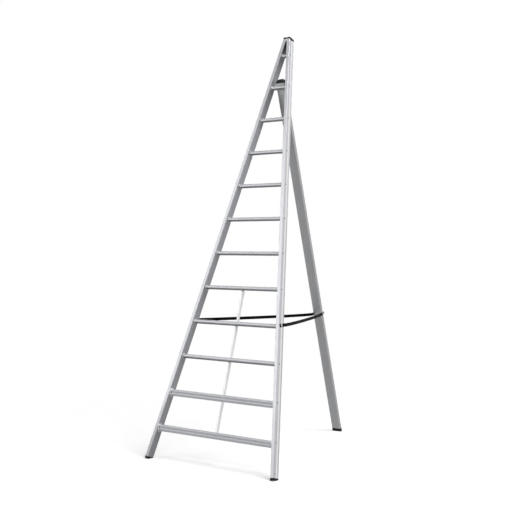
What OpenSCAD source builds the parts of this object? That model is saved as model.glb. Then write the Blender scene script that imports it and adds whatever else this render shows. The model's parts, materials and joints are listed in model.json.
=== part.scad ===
// Orchard tripod ladder for picking cherries, in millimetres.
// Two stiles converge to a point over a wide base and carry twelve rungs. The front frame leans
// back on one rear leg that is hinged behind the second rung. Two webbing straps stop the leg.
// +X is the ladder's right side for someone who faces the rungs, +Y points to the rear leg.
// The origin is on the ground, in the middle of the ladder's footprint.

/* [Front frame] */
// Lean of the front frame from the vertical, in degrees
lean = 17.36; // [15:0.01:20]
// Distance between the stile centre lines at the ground
base_w = 1190; // [1000:1:1400]
// Depth of a stile, front to back
stile_d = 65; // [60:0.5:72]
// Width of a stile
stile_w = 30; // [28:0.5:34]
// Wall of a stile
stile_wall = 2; // [1.6:0.1:2.6]
// Outer corner radius of a stile
stile_r = 4; // [3:0.25:6]
// Width of the hollow channel down the outer face of a stile
channel_w = 38; // [32:1:42]
// Depth of that channel
channel_depth = 2.2; // [1.6:0.1:2.6]
// How far the channel's middle lies ahead of the stile's middle
channel_ahead = 7; // [5:0.5:8]
// Width of the narrow groove near the rear edge of the outer face
groove_w = 2; // [1:0.1:2.4]
// How far that groove lies behind the stile's middle
groove_behind = 22; // [18:0.5:26]
// Distance from the ground to the cut end of a stile, along the stile
stile_start = 15; // [13:0.5:20]

/* [Rungs] */
// Distance between rungs, up the slope
rung_pitch = 280; // [250:1:300]
// Height of the lowest screw hole, up the slope
first_hole = 260; // [220:1:300]
// Distance from the highest screw hole to the stile tops, up the slope
tip_drop = 148; // [140:1:190]
// Depth of a rung, front to back
rung_d = 24; // [22:0.5:28]
// Height of a plain rung
rung_h = 32; // [30:0.5:36]
// Height of the two lowest rungs, which are double
double_h = 50; // [46:0.5:56]
// Wall of a rung
rung_wall = 1.8; // [1.4:0.1:2.2]
// Outer corner radius of a rung
rung_r = 2.5; // [2.3:0.1:3]
// How far the rounded front of a plain rung stands out
lobe_rise = 6.7; // [5:0.1:8]
// How far the two rounded fronts of a double rung stand out
double_rise = 3; // [2:0.1:5]
// Flat strip above and below the rounded front
lobe_edge = 2; // [1:0.1:3]
// How far the two rounded fronts of a double rung run into each other
lobe_overlap = 0.6; // [0.4:0.1:2]
// Width of an anti-slip groove in the tread
tread_groove_w = 1.5; // [1:0.1:1.8]
// Depth of an anti-slip groove
tread_groove_depth = 0.8; // [0.5:0.1:1]
// Distance between anti-slip grooves
tread_pitch = 3; // [2.5:0.1:3.2]
// Distance of the first groove from the back of the tread
tread_margin = 2.6; // [2:0.1:3]
// Distance of the rungs' lower back edges behind the frame's middle plane
rung_setback = 8.1; // [6:0.1:9]
// Outside diameter of the screw port in a rung
port_d = 10; // [9:0.1:11]
// Distance of the screw port from the back of a rung
port_back = 10; // [9:0.1:11]
// Depth of the screw port below the tread of a plain rung
port_drop = 13; // [11:0.1:16]
// Depth of the screw port below the tread of a double rung
double_port_drop = 7.5; // [7:0.1:12]
// Thickness of the web that carries the screw port
web_t = 2; // [1.6:0.1:2.4]
// Diameter of a rung screw
screw_d = 6; // [5:0.1:6.5]
// Length of a rung screw inside the rung and the stile
screw_len = 52; // [50:1:60]
// Diameter of a rung screw's head
screw_head_d = 10.5; // [9.5:0.1:12]
// Height of a rung screw's head
screw_head_h = 2.6; // [2:0.1:3.2]

/* [Centre brace] */
// Diameter of the brace tube
brace_d = 24; // [20:0.5:26]
// Wall of the brace tube
brace_wall = 1.8; // [1.2:0.1:2.4]
// Number of the highest rung that the brace is welded to
brace_top_rung = 8; // [7:1:9]
// Height of the brace's upper end above the lower back edge of that rung
brace_top_rise = 22; // [16:1:26]
// Height of the brace's lower end above the lower back edge of the lowest rung
brace_foot_rise = 6; // [2:1:16]

/* [Caps and feet] */
// Thickness of a stile's top cap
cap_t = 9; // [6:0.5:12]
// How far a top cap stands out all round
cap_lip = 0.8; // [0.4:0.1:1.5]
// Chamfer round the top edge of a top cap
cap_chamfer = 2.5; // [1:0.1:3.5]
// Length of the plug on each cap and foot
plug_len = 40; // [30:1:44]
// Clearance round a plug
plug_gap = 0.2; // [0.1:0.05:0.4]
// How far a rubber foot stands out all round
foot_lip = 1.5; // [0.8:0.1:2.5]
// How far the toe of a front foot reaches past the stile's ground point
foot_toe = 3; // [1:0.5:6]
// Distance of a foot rivet above the cut end of its tube
rivet_rise = 30; // [20:1:36]
// How far a front foot's rivet lies ahead of the stile's middle
rivet_ahead = 12; // [9:0.5:14]
// Diameter of a foot rivet
rivet_d = 4.8; // [4:0.1:5]
// Length of a foot rivet
rivet_len = 14; // [10:0.5:18]
// Diameter of a foot rivet's head
rivet_head_d = 9; // [8:0.1:10]
// Height of a foot rivet's head
rivet_head_h = 2; // [1.5:0.1:2.4]

/* [Rear leg] */
// Angle of the open rear leg from the vertical, in degrees
leg_angle = 16.38; // [14:0.01:19]
// Width of the leg tube
leg_w = 80; // [70:1:84]
// Thickness of the leg tube, front to back
leg_t = 30; // [26:0.5:34]
// Wall of the leg tube
leg_wall = 2; // [1.6:0.1:3]
// Outer corner radius of the leg tube
leg_r = 3.5; // [3.2:0.1:6]
// Length of the leg tube above the hinge
leg_up = 44; // [36:1:60]
// Height of the rear foot under the leg tube, on the tube's middle line
rear_foot_h = 30; // [24:0.5:40]
// Height of the arched cap above the leg tube
dome_h = 30; // [24:0.5:36]
// Height of the straight rim under the arch of that cap
dome_rim = 6; // [4:0.5:8]

/* [Hinge] */
// Number of the rung that carries the hinge
hinge_rung = 2; // [2:1:2]
// Distance of the hinge axis behind the frame's middle plane, level
hinge_back = 31; // [28:0.5:36]
// Thickness of a hinge cheek
cheek_t = 5; // [4:0.5:8]
// Radius of a cheek's round end
cheek_r = 15; // [13:0.5:15.5]
// Space between the leg and each cheek
cheek_gap = 1.5; // [1:0.1:2.5]
// Diameter of the hinge bolt
bolt_d = 12; // [10:0.5:14]
// Outside diameter of the sleeve that the bolt turns in
sleeve_d = 18; // [17:0.5:20]
// Outside diameter of the hinge's washers and spacers
hinge_washer_d = 24; // [22:0.5:28]
// Thickness of a hinge washer
hinge_washer_t = 2.5; // [1.5:0.1:3]
// Width across flats of the bolt's head and nut
bolt_flats = 19; // [17:0.5:22]
// Height of the bolt's head
bolt_head_h = 7.5; // [6:0.1:8]
// Height of the lock nut
bolt_nut_h = 10; // [8:0.1:11]

/* [Straps] */
// Width of the webbing
strap_w = 25; // [20:0.5:28]
// Thickness of the webbing
strap_t = 2; // [1.4:0.1:2.4]
// Number of the rung whose screw gives way to the strap's screw
strap_rung = 9; // [9:1:9]
// How far the strap's screw lies above the place of that rung's screw, up the stile
strap_over = 4.9; // [0:0.1:12]
// How far that screw lies ahead of the stile's middle
strap_ahead = 3; // [1:0.5:6]
// Height of the strap bolt on the leg above the strap's screw on the stile
strap_rise = 2.8; // [0:0.1:20]
// How far the strap bolt lies behind the leg's middle
strap_behind = 5; // [2:0.5:6]
// Length of webbing past the middle of each bolt hole
strap_tail = 22; // [18:0.5:26]
// Drop of a strap below the straight line between its ends
strap_sag = 4; // [3:0.5:20]
// Diameter of the strap screws at the stiles
strap_screw_d = 6; // [5:0.1:6]
// Diameter of the strap bolt through the leg
strap_bolt_d = 8; // [6:0.1:8]
// Outside diameter of the strap washers
strap_washer_d = 17; // [16:0.5:20]
// Thickness of the strap washers
strap_washer_t = 1.4; // [1:0.1:2]
// Diameter of a strap screw's round head
strap_head_d = 11; // [10:0.1:13]
// Height of a strap screw's round head
strap_head_h = 3.3; // [2.5:0.1:4]
// Width across flats of the strap bolt's head and nut
strap_flats = 13; // [11:0.5:14]
// Height of the strap bolt's head
strap_bolt_head_h = 5.3; // [4:0.1:6]
// Height of the strap bolt's nut
strap_nut_h = 6.5; // [5:0.1:8]
// Outside diameter of the rivet nut in a stile
rivnut_d = 9; // [8.5:0.1:10]
// Diameter of the rivet nut's flange
rivnut_flange_d = 13; // [12:0.1:14]
// Length of the rivet nut's barrel inside the stile wall
rivnut_len = 13; // [10:0.5:15]

/* [Fits] */
// Clearance round a screw, bolt or sleeve in its hole, on the radius
fit = 0.05; // [0.03:0.01:0.09]
// Clearance round a screw that passes through a stile wall, on the radius
through_gap = 0.3; // [0.2:0.05:0.5]
// Space beside the webbing, on each face
soft_gap = 0.3; // [0.2:0.05:0.5]
// Space on each side of a nylon hinge spacer
spacer_gap = 0.1; // [0.05:0.05:0.3]
// Depth of a screw's flat seat below the floor of the channel
seat_depth = 0.1; // [0.05:0.05:0.3]
// Clearance round a screw head in its seat
seat_gap = 0.4; // [0.2:0.1:0.6]
// Space between the two top caps, from the middle
cap_gap = 0.3; // [0.1:0.1:1]
// Space between the brace tube and the edges that it is welded to
brace_gap = 0.1; // [0.02:0.02:0.2]

/* [Hidden] */
rung_count = 12;
double_rungs = 2;
tread_grooves = 5;
join = 0.2;
beyond = 1;
far = 4000;
fine = 48;
very_fine = 240;
share_in_head = 1 / 3;
tail_start = 10;
tail_step = 20;
strap_steps = 18;
stile_handle = 1 / 15;
leg_handle = 1 / 40;

function pad2(i) = i < 10 ? str("0", i) : str(i);
function rung_name(i) = str("rung_", pad2(i));

// Radius of the arc that rises by this much over this chord
function arc_r(chord, rise) = (chord * chord / 4 + rise * rise) / (2 * rise);

// The stiles' inner faces meet at the middle, at the full length of the frame
frame_len = first_hole + (rung_count - 1) * rung_pitch + tip_drop;
half_stile = stile_w / 2;
taper = acos(half_stile / norm([base_w / 2, frame_len])) - atan2(frame_len, base_w / 2);
stile_len = frame_len / cos(taper);
channel_r = arc_r(channel_w, channel_depth);
seat = half_stile - channel_depth - seat_depth;
function half_at(t) = base_w / 2 - t * tan(taper);

// Rungs are numbered from the top, and their holes lie on one pitch from the bottom
function is_double(i) = i > rung_count - double_rungs;
function h_of(i) = is_double(i) ? double_h : rung_h;
function drop_of(i) = is_double(i) ? double_port_drop : port_drop;
function lobes_of(i) = is_double(i) ? 2 : 1;
function rise_of(i) = is_double(i) ? double_rise : lobe_rise;
function hole_t(i) = first_hole + (rung_count - i) * rung_pitch;
function hole_ahead(i) = port_back * cos(lean) + (h_of(i) - drop_of(i)) * sin(lean) - rung_setback;

// The hinge and the leg
hinge_y0 = hole_t(hinge_rung) * sin(lean) + hinge_back;
hinge_z = hole_t(hinge_rung) * cos(lean);
leg_down = hinge_z / cos(leg_angle) - rear_foot_h;
rear_sole_y0 = hinge_y0 + hinge_z * tan(leg_angle);

// The footprint reaches from the toe of a front foot to the heel of the rear foot
boot_r = stile_r + foot_lip;
boot_half_w = half_stile + foot_lip;
boot_half_d = stile_d / 2 + foot_lip;
toe_t = -foot_toe * cos(taper) - (boot_half_w - boot_r) * sin(taper);
toe_y0 = toe_t * sin(lean) - (boot_half_d - boot_r) * cos(lean)
    - boot_r * norm([cos(lean), sin(taper) * sin(lean)]);
heel_y0 = rear_sole_y0 + (leg_t / 2 + foot_lip) / cos(leg_angle);
shift_y = -(toe_y0 + heel_y0) / 2;
hinge_y = hinge_y0 + shift_y;

function hole_y(i) = shift_y + hole_t(i) * sin(lean) - hole_ahead(i) * cos(lean);
function hole_z(i) = hole_t(i) * cos(lean) + hole_ahead(i) * sin(lean);
function rung_back_y(i) = hole_y(i) + port_back;
function rung_foot_z(i) = hole_z(i) + drop_of(i) - h_of(i);
// Place up the slope of a rung's lower back edge
function edge_t(i) = (rung_back_y(i) - shift_y) * sin(lean) + rung_foot_z(i) * cos(lean);

// The strap's screw up the stile, and the strap bolt down the leg at nearly the same height
strap_up = hole_t(strap_rung) / cos(taper) + strap_over;
strap_x = leg_w / 2 + soft_gap + strap_t / 2;
strap_washer_x = leg_w / 2 + strap_t + 2 * soft_gap;
cheek_x = leg_w / 2 + cheek_gap;
cheek_out = cheek_x + cheek_t;
hinge_head_x = cheek_out + hinge_washer_t;

// Where things sit
module in_frame() {
    translate([0, shift_y, 0]) rotate([-lean, 0, 0]) children();
}

module on_side(side) {
    mirror([side < 0 ? 1 : 0, 0, 0]) children();
}

module on_stile(side) {
    in_frame() on_side(side) translate([base_w / 2, 0, 0]) rotate([0, -taper, 0]) children();
}

// On the flat seat of a rung screw, with the drawing's z out of the stile
module on_seat(side, t, ahead) {
    on_stile(side) translate([seat, -ahead, t / cos(taper) - seat * tan(taper)])
        rotate([0, 90, 0]) children();
}

// Along a rung's own hole, inward from the screw's seat
module in_hole(side, t, ahead, out) {
    in_frame() on_side(side) translate([half_at(t) + seat / cos(taper) + out, -ahead, t])
        rotate([0, -90, 0]) children();
}

module at_hinge() {
    translate([0, hinge_y, hinge_z]) rotate([leg_angle, 0, 0]) children();
}

// A drawing whose x is forward and y is up, spread along the ladder's width
module across(length) {
    rotate([90, 0, -90]) linear_extrude(height = length, center = true) children();
}

// A rod along the ladder's width, from x1 to x2
module rod_x(x1, x2, d, sides) {
    translate([x1, 0, 0]) rotate([0, 90, 0]) cylinder(h = x2 - x1, d = d, $fn = sides);
}

module above_ground() {
    difference() {
        children();
        translate([-far / 2, -far / 2, -far]) cube([far, far, far]);
    }
}

// Shapes that repeat
module round_rect(w, d, r) {
    square([w - 2 * r, d], center = true);
    square([w, d - 2 * r], center = true);
    for (sx = [-1, 1], sy = [-1, 1])
        translate([sx * (w / 2 - r), sy * (d / 2 - r)]) circle(r = r, $fn = fine);
}

module dome_head(d, h) {
    r = arc_r(d, h);
    intersection() {
        translate([0, 0, h - r]) sphere(r = r, $fn = fine);
        cylinder(h = h + beyond, d = d + beyond, $fn = fine);
    }
}

module ring_x(x1, x2, d, bore) {
    difference() {
        rod_x(x1, x2, d, fine);
        rod_x(x1 - beyond, x2 + beyond, bore, fine);
    }
}

module hexagon_x(x1, x2, flats) {
    rod_x(x1, x2, flats / cos(30), 6);
}

// Stiles
module stile_outline(inset) {
    difference() {
        round_rect(stile_w - 2 * inset, stile_d - 2 * inset, stile_r - inset);
        translate([half_stile - channel_depth + channel_r, -channel_ahead])
            circle(r = channel_r + inset, $fn = very_fine);
    }
}

module stile_section() {
    difference() {
        stile_outline(0);
        stile_outline(stile_wall);
        translate([half_stile, groove_behind]) rotate(45)
            square(groove_w / sqrt(2), center = true);
    }
}

// The spot face and the slanting hole for one rung screw
module screw_cut(side, i) {
    on_seat(side, hole_t(i), hole_ahead(i))
        cylinder(h = channel_depth + beyond, d = screw_head_d + 2 * seat_gap, $fn = fine);
    in_hole(side, hole_t(i), hole_ahead(i), beyond)
        cylinder(h = 2 * stile_w, d = screw_d + 2 * through_gap, $fn = fine);
}

module strap_screw_cut(side) {
    on_stile(side) translate([seat, -strap_ahead, strap_up]) {
        rod_x(0, channel_depth + beyond, rivnut_flange_d + 2 * fit, fine);
        rod_x(-half_stile, beyond, rivnut_d + 2 * fit, fine);
    }
}

module rivet_cut(side) {
    on_stile(side) translate([seat, -rivet_ahead, stile_start + rivet_rise]) {
        rod_x(0, channel_depth + beyond, rivet_head_d + 2 * seat_gap, fine);
        rod_x(-half_stile, beyond, rivet_d + 2 * fit, fine);
    }
}

module stile(side) {
    color("gainsboro") difference() {
        on_stile(side) translate([0, 0, stile_start])
            linear_extrude(height = stile_len - stile_start) stile_section();
        for (i = [1:rung_count]) if (has_screw(i)) screw_cut(side, i);
        strap_screw_cut(side);
        rivet_cut(side);
    }
}

function has_screw(i) = i != strap_rung;

// Rungs
module rung_outline(i, inset) {
    h = h_of(i);
    body = rung_d - rise_of(i);
    last = lobes_of(i) - 1;
    chord = (h - 2 * lobe_edge + last * lobe_overlap) / lobes_of(i);
    lobe_r = arc_r(chord, rise_of(i));
    translate([body / 2, h / 2]) round_rect(body - 2 * inset, h - 2 * inset, rung_r - inset);
    for (j = [0:last]) intersection() {
        translate([rung_d - lobe_r, lobe_edge + chord / 2 + j * (chord - lobe_overlap)])
            circle(r = lobe_r - inset, $fn = very_fine);
        translate([body - inset - join, 0]) square([rise_of(i) + inset + join, h]);
    }
}

module rung_section(i) {
    h = h_of(i);
    difference() {
        rung_outline(i, 0);
        difference() {
            rung_outline(i, rung_wall);
            translate([port_back, h - drop_of(i)]) circle(d = port_d, $fn = fine);
            translate([port_back - web_t / 2, 0]) square([web_t, h]);
        }
        translate([port_back, h - drop_of(i)]) circle(d = screw_d + 2 * fit, $fn = fine);
        for (g = [0:tread_grooves - 1])
            translate([tread_margin + g * tread_pitch - tread_groove_w / 2, h - tread_groove_depth])
                square([tread_groove_w, tread_groove_depth + beyond]);
    }
}

// The triangle between the inner faces of the stiles
module between_stiles() {
    half = base_w / 2 - half_stile / cos(taper);
    in_frame() rotate([90, 0, 0]) linear_extrude(height = far, center = true)
        polygon([[-half, 0], [half, 0], [0, frame_len]]);
}

module rung(i) {
    color(is_double(i) ? "darkgray" : "silver") intersection() {
        translate([0, rung_back_y(i), rung_foot_z(i)])
            across(2 * half_at(hole_t(i)) + stile_d) rung_section(i);
        between_stiles();
    }
}

module rung_screws(side) {
    color("silver") for (i = [1:rung_count]) if (has_screw(i)) {
        on_seat(side, hole_t(i), hole_ahead(i)) dome_head(screw_head_d, screw_head_h);
        in_hole(side, hole_t(i), hole_ahead(i), screw_head_h * share_in_head)
            cylinder(h = screw_len, d = screw_d, $fn = fine);
    }
}

// Centre brace, down the lower back edges of the rungs
module centre_brace() {
    low = edge_t(rung_count) + brace_foot_rise;
    high = edge_t(brace_top_rung) + brace_top_rise;
    color("gainsboro") in_frame()
        translate([0, rung_setback + brace_gap + brace_d / 2, low]) difference() {
            cylinder(h = high - low, d = brace_d, $fn = fine);
            translate([0, 0, -beyond])
                cylinder(h = high - low + 2 * beyond, d = brace_d - 2 * brace_wall, $fn = fine);
        }
}

// Top caps, each cut off beside the middle
module cap_block() {
    w = stile_w + 2 * cap_lip;
    d = stile_d + 2 * cap_lip;
    intersection() {
        linear_extrude(height = cap_t) round_rect(w, d, stile_r + cap_lip);
        rotate([90, 0, 0]) linear_extrude(height = far, center = true) chamfered(w);
        rotate([90, 0, 90]) linear_extrude(height = far, center = true) chamfered(d);
    }
}

module chamfered(w) {
    polygon([[-w / 2, 0], [w / 2, 0], [w / 2, cap_t - cap_chamfer], [w / 2 - cap_chamfer, cap_t],
        [cap_chamfer - w / 2, cap_t], [-w / 2, cap_t - cap_chamfer]]);
}

module top_cap(side) {
    color("black") difference() {
        on_stile(side) translate([0, 0, stile_len]) {
            cap_block();
            translate([0, 0, -plug_len]) linear_extrude(height = plug_len + join)
                stile_outline(stile_wall + plug_gap);
        }
        on_side(side) translate([cap_gap - far, -far / 2, 0]) cube([far, far, far]);
    }
}

// Front feet
module front_foot(side) {
    color("black") above_ground() difference() {
        on_stile(side) {
            translate([0, 0, -foot_toe]) linear_extrude(height = stile_start + foot_toe)
                round_rect(2 * boot_half_w, 2 * boot_half_d, boot_r);
            translate([0, 0, stile_start - join]) linear_extrude(height = plug_len + join)
                stile_outline(stile_wall + plug_gap);
        }
        on_stile(side) translate([seat, -rivet_ahead, stile_start + rivet_rise])
            rod_x(-stile_w, beyond, rivet_d + 2 * fit, fine);
    }
}

module front_foot_rivets() {
    color("silver") for (side = [-1, 1])
        on_stile(side) translate([seat, -rivet_ahead, stile_start + rivet_rise]) {
            rotate([0, 90, 0]) dome_head(rivet_head_d, rivet_head_h);
            rod_x(-rivet_len, rivet_head_h * share_in_head, rivet_d, fine);
        }
}

// Hinge
module hinge_cheek(side) {
    reach = hinge_y - rung_back_y(hinge_rung);
    color("gainsboro") translate([side * (cheek_x + cheek_t / 2), hinge_y, hinge_z])
        across(cheek_t) difference() {
            union() {
                circle(r = cheek_r, $fn = fine);
                translate([0, -cheek_r]) square([reach, 2 * cheek_r]);
            }
            circle(d = bolt_d + 2 * fit, $fn = fine);
        }
}

module hinge_bolt() {
    color("silver") translate([0, hinge_y, hinge_z]) {
        hexagon_x(hinge_head_x, hinge_head_x + bolt_head_h, bolt_flats);
        rod_x(-hinge_head_x - bolt_nut_h - beyond, hinge_head_x + join, bolt_d, fine);
    }
}

module hinge_nut() {
    color("silver") translate([0, hinge_y, hinge_z]) difference() {
        hexagon_x(-hinge_head_x - bolt_nut_h, -hinge_head_x, bolt_flats);
        rod_x(-far / 2, 0, bolt_d + 2 * fit, fine);
    }
}

module hinge_washers() {
    color("silver") translate([0, hinge_y, hinge_z]) for (side = [-1, 1]) on_side(side)
        ring_x(cheek_out, hinge_head_x, hinge_washer_d, bolt_d + 2 * fit);
}

module hinge_sleeve() {
    color("silver") translate([0, hinge_y, hinge_z])
        ring_x(-leg_w / 2, leg_w / 2, sleeve_d, bolt_d + 2 * fit);
}

module hinge_spacers() {
    color("white") translate([0, hinge_y, hinge_z]) for (side = [-1, 1]) on_side(side)
        ring_x(leg_w / 2 + spacer_gap, cheek_x - spacer_gap, hinge_washer_d, bolt_d + 2 * fit);
}

// Rear leg
module leg_section() {
    difference() {
        round_rect(leg_w, leg_t, leg_r);
        round_rect(leg_w - 2 * leg_wall, leg_t - 2 * leg_wall, leg_r - leg_wall);
    }
}

module leg_plug(z, length) {
    inset = leg_wall + plug_gap;
    translate([0, 0, z]) linear_extrude(height = length)
        round_rect(leg_w - 2 * inset, leg_t - 2 * inset, leg_r - leg_wall);
}

module rear_leg_tube() {
    color("darkgray") at_hinge() difference() {
        translate([0, 0, -leg_down]) linear_extrude(height = leg_down + leg_up) leg_section();
        rod_x(-leg_w, leg_w, sleeve_d + 2 * fit, fine);
        translate([0, strap_behind, -strap_down])
            rod_x(-leg_w, leg_w, strap_bolt_d + 2 * fit, fine);
        translate([0, 0, rivet_rise - leg_down])
            rod_x(-leg_w, leg_w, rivet_d + 2 * fit, fine);
    }
}

module leg_top_cap() {
    w = leg_w + 2 * foot_lip;
    r = arc_r(w, dome_h - dome_rim);
    color("black") at_hinge() translate([0, 0, leg_up]) {
        rotate([90, 0, 0]) linear_extrude(height = leg_t + 2 * foot_lip, center = true)
            intersection() {
                translate([0, dome_h - r]) circle(r = r, $fn = very_fine);
                translate([-w / 2, 0]) square([w, dome_h + beyond]);
            }
        leg_plug(-plug_len / 2, plug_len / 2 + join);
    }
}

module rear_foot() {
    block = 2 * rear_foot_h;
    color("black") above_ground() at_hinge() difference() {
        union() {
            translate([0, 0, -leg_down - block]) linear_extrude(height = block)
                round_rect(leg_w + 2 * foot_lip, leg_t + 2 * foot_lip, leg_r + foot_lip);
            leg_plug(-leg_down - join, plug_len + join);
        }
        translate([0, 0, rivet_rise - leg_down])
            rod_x(-leg_w, leg_w, rivet_d + 2 * fit, fine);
    }
}

module rear_foot_rivets() {
    color("silver") for (side = [-1, 1]) on_side(side)
        at_hinge() translate([leg_w / 2, 0, rivet_rise - leg_down]) {
            rotate([0, 90, 0]) dome_head(rivet_head_d, rivet_head_h);
            rod_x(-rivet_len, rivet_head_h * share_in_head, rivet_d, fine);
        }
}

// Straps. A point or a direction of the right stile or of the leg is turned into the ladder's own.
function lean_back(p) =
    [p[0], p[1] * cos(lean) + p[2] * sin(lean), p[2] * cos(lean) - p[1] * sin(lean)];
function stile_dir(p) = lean_back(
    [p[0] * cos(taper) - p[2] * sin(taper), p[1], p[0] * sin(taper) + p[2] * cos(taper)]);
function leg_dir(p) = [p[0], p[1] * cos(leg_angle) - p[2] * sin(leg_angle),
    p[1] * sin(leg_angle) + p[2] * cos(leg_angle)];
function unit(v) = v / norm(v);

// Each end lies flat: outward from its face, along the webbing and across it
stile_out = stile_dir([1, 0, 0]);
stile_along = unit(cross([0, 0, 1], stile_out));
stile_across = cross(stile_out, stile_along);
stile_hole = stile_dir([half_stile + soft_gap + strap_t / 2, -strap_ahead, strap_up])
    + [base_w / 2, shift_y, 0];
strap_down = (hinge_z + strap_behind * sin(leg_angle) - stile_hole[2] - strap_rise)
    / cos(leg_angle);
leg_along = leg_dir([0, 1, 0]);
leg_across = leg_dir([0, 0, 1]);
leg_hole = leg_dir([strap_x, strap_behind, -strap_down]) + [0, hinge_y, hinge_z];

// The webbing leaves the stile behind its rear edge, and meets the leg ahead of its front face
stile_flat = (stile_d / 2 + strap_ahead) / cos(lean) + strap_w / 2 * tan(lean) + strap_t;
leg_flat = leg_t / 2 + strap_behind + strap_t;
leave = stile_hole + stile_along * stile_flat;
arrive = leg_hole - leg_along * leg_flat;
reach = norm(arrive - leave);
// The curve drops by three quarters of what its two handles are pulled down
pull_down = [0, 0, -strap_sag * 4 / 3];
bend = [leave, leave + stile_along * reach * stile_handle + pull_down,
    arrive - leg_along * reach * leg_handle + pull_down, arrive];

function bezier(p, u) = p[0] * pow(1 - u, 3) + p[1] * 3 * u * pow(1 - u, 2)
    + p[2] * 3 * u * u * (1 - u) + p[3] * pow(u, 3);
function bezier_dir(p, u) = unit((p[1] - p[0]) * pow(1 - u, 2)
    + (p[2] - p[1]) * 2 * u * (1 - u) + (p[3] - p[2]) * u * u);
function square_to(v, along) = unit(v - along * (v * along));

// A station is its middle, its direction, its across vector and its half width
tail_angles = [for (a = [tail_start:tail_step:90]) a];
function tail_at(a) = strap_tail - strap_w / 2 * (1 - cos(a));
stations = concat(
    [for (a = tail_angles)
        [stile_hole - stile_along * tail_at(a), stile_along, stile_across, strap_w / 2 * sin(a)]],
    [for (k = [0:strap_steps]) let (u = k / strap_steps, dir = bezier_dir(bend, u))
        [bezier(bend, u), dir,
         square_to(stile_across * (1 - u) + leg_across * u, dir), strap_w / 2]],
    [for (k = [len(tail_angles) - 1:-1:0]) let (a = tail_angles[k])
        [leg_hole + leg_along * tail_at(a), leg_along, leg_across, strap_w / 2 * sin(a)]]
);
function ring_of(s) = let (side_out = unit(cross(s[1], s[2])) * strap_t / 2, edge = s[2] * s[3])
    [s[0] - edge - side_out, s[0] + edge - side_out, s[0] + edge + side_out,
     s[0] - edge + side_out];

module webbing() {
    points = [for (s = stations) each ring_of(s)];
    last = 4 * (len(stations) - 1);
    walls = [for (j = [0:len(stations) - 2], e = [0:3])
        let (a = 4 * j + e, b = 4 * j + (e + 1) % 4) each [[a, a + 4, b], [b, a + 4, b + 4]]];
    ends = [[0, 1, 2], [0, 2, 3], [last, last + 2, last + 1], [last, last + 3, last + 2]];
    polyhedron(points = points, faces = concat(walls, ends));
}

module strap(side) {
    color("black") on_side(side) difference() {
        webbing();
        on_stile(1) translate([half_stile, -strap_ahead, strap_up])
            rod_x(-strap_t, strap_washer_d, strap_screw_d + 2 * soft_gap, fine);
        at_hinge() translate([0, strap_behind, -strap_down])
            rod_x(0, leg_w, strap_bolt_d + 2 * soft_gap, fine);
    }
}

module at_strap_screws() {
    for (side = [-1, 1])
        on_stile(side) translate([half_stile, -strap_ahead, strap_up]) children();
}

module strap_stile_screws() {
    face = strap_t + 2 * soft_gap + strap_washer_t;
    color("silver") at_strap_screws() {
        translate([face, 0, 0]) rotate([0, 90, 0]) dome_head(strap_head_d, strap_head_h);
        rod_x(-rivnut_len, face + strap_head_h * share_in_head, strap_screw_d, fine);
    }
}

module strap_stile_washers() {
    inner = strap_t + 2 * soft_gap;
    color("silver") at_strap_screws()
        ring_x(inner, inner + strap_washer_t, strap_washer_d, strap_screw_d + 2 * fit);
}

module strap_rivet_nuts() {
    flange = channel_depth + seat_depth;
    color("silver") at_strap_screws() difference() {
        union() {
            rod_x(-flange, 0, rivnut_flange_d, fine);
            rod_x(-flange - rivnut_len, -flange + join, rivnut_d, fine);
        }
        rod_x(-stile_w, beyond, strap_screw_d + 2 * fit, fine);
    }
}

module at_strap_bolt() {
    at_hinge() translate([0, strap_behind, -strap_down]) children();
}

module strap_leg_bolt() {
    face = strap_washer_x + strap_washer_t;
    color("silver") at_strap_bolt() {
        hexagon_x(face, face + strap_bolt_head_h, strap_flats);
        rod_x(-face - strap_nut_h - beyond, face + join, strap_bolt_d, fine);
    }
}

module strap_leg_nut() {
    face = strap_washer_x + strap_washer_t;
    color("silver") at_strap_bolt() difference() {
        hexagon_x(-face - strap_nut_h, -face, strap_flats);
        rod_x(-far / 2, 0, strap_bolt_d + 2 * fit, fine);
    }
}

module strap_leg_washers() {
    color("silver") at_strap_bolt() for (side = [-1, 1]) on_side(side)
        ring_x(strap_washer_x, strap_washer_x + strap_washer_t, strap_washer_d,
            strap_bolt_d + 2 * fit);
}

stile(-1);  // stile_left
stile(1);  // stile_right
for (i = [1:rung_count])
    rung(i);
centre_brace();
top_cap(-1);  // top_cap_left
top_cap(1);  // top_cap_right
front_foot(-1);  // front_foot_left
front_foot(1);  // front_foot_right
front_foot_rivets();
rung_screws(-1);  // rung_screws_left
rung_screws(1);  // rung_screws_right
hinge_cheek(-1);  // hinge_cheek_left
hinge_cheek(1);  // hinge_cheek_right
hinge_bolt();
hinge_nut();
hinge_washers();
strap(-1);  // strap_left
strap(1);  // strap_right
strap_stile_screws();
strap_stile_washers();
strap_rivet_nuts();
rear_leg_tube();
leg_top_cap();
rear_foot();
rear_foot_rivets();
hinge_sleeve();
hinge_spacers();
strap_leg_bolt();
strap_leg_nut();
strap_leg_washers();
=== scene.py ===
# %% [markdown]
# # An orchard tripod ladder
# The real thing is an aluminium picking ladder: two stiles that meet in a point, twelve rungs,
# and one rear leg that is held open by two webbing straps. The imported model brings the metal,
# plastic and rubber parts at their true size. This file adds the finish of each part, the weld
# beads, the thin lips of the two top caps, the woven straps, and a plain studio. The first cell
# loads the model. Nothing made here may make the ladder bigger.

import json
import math

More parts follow.
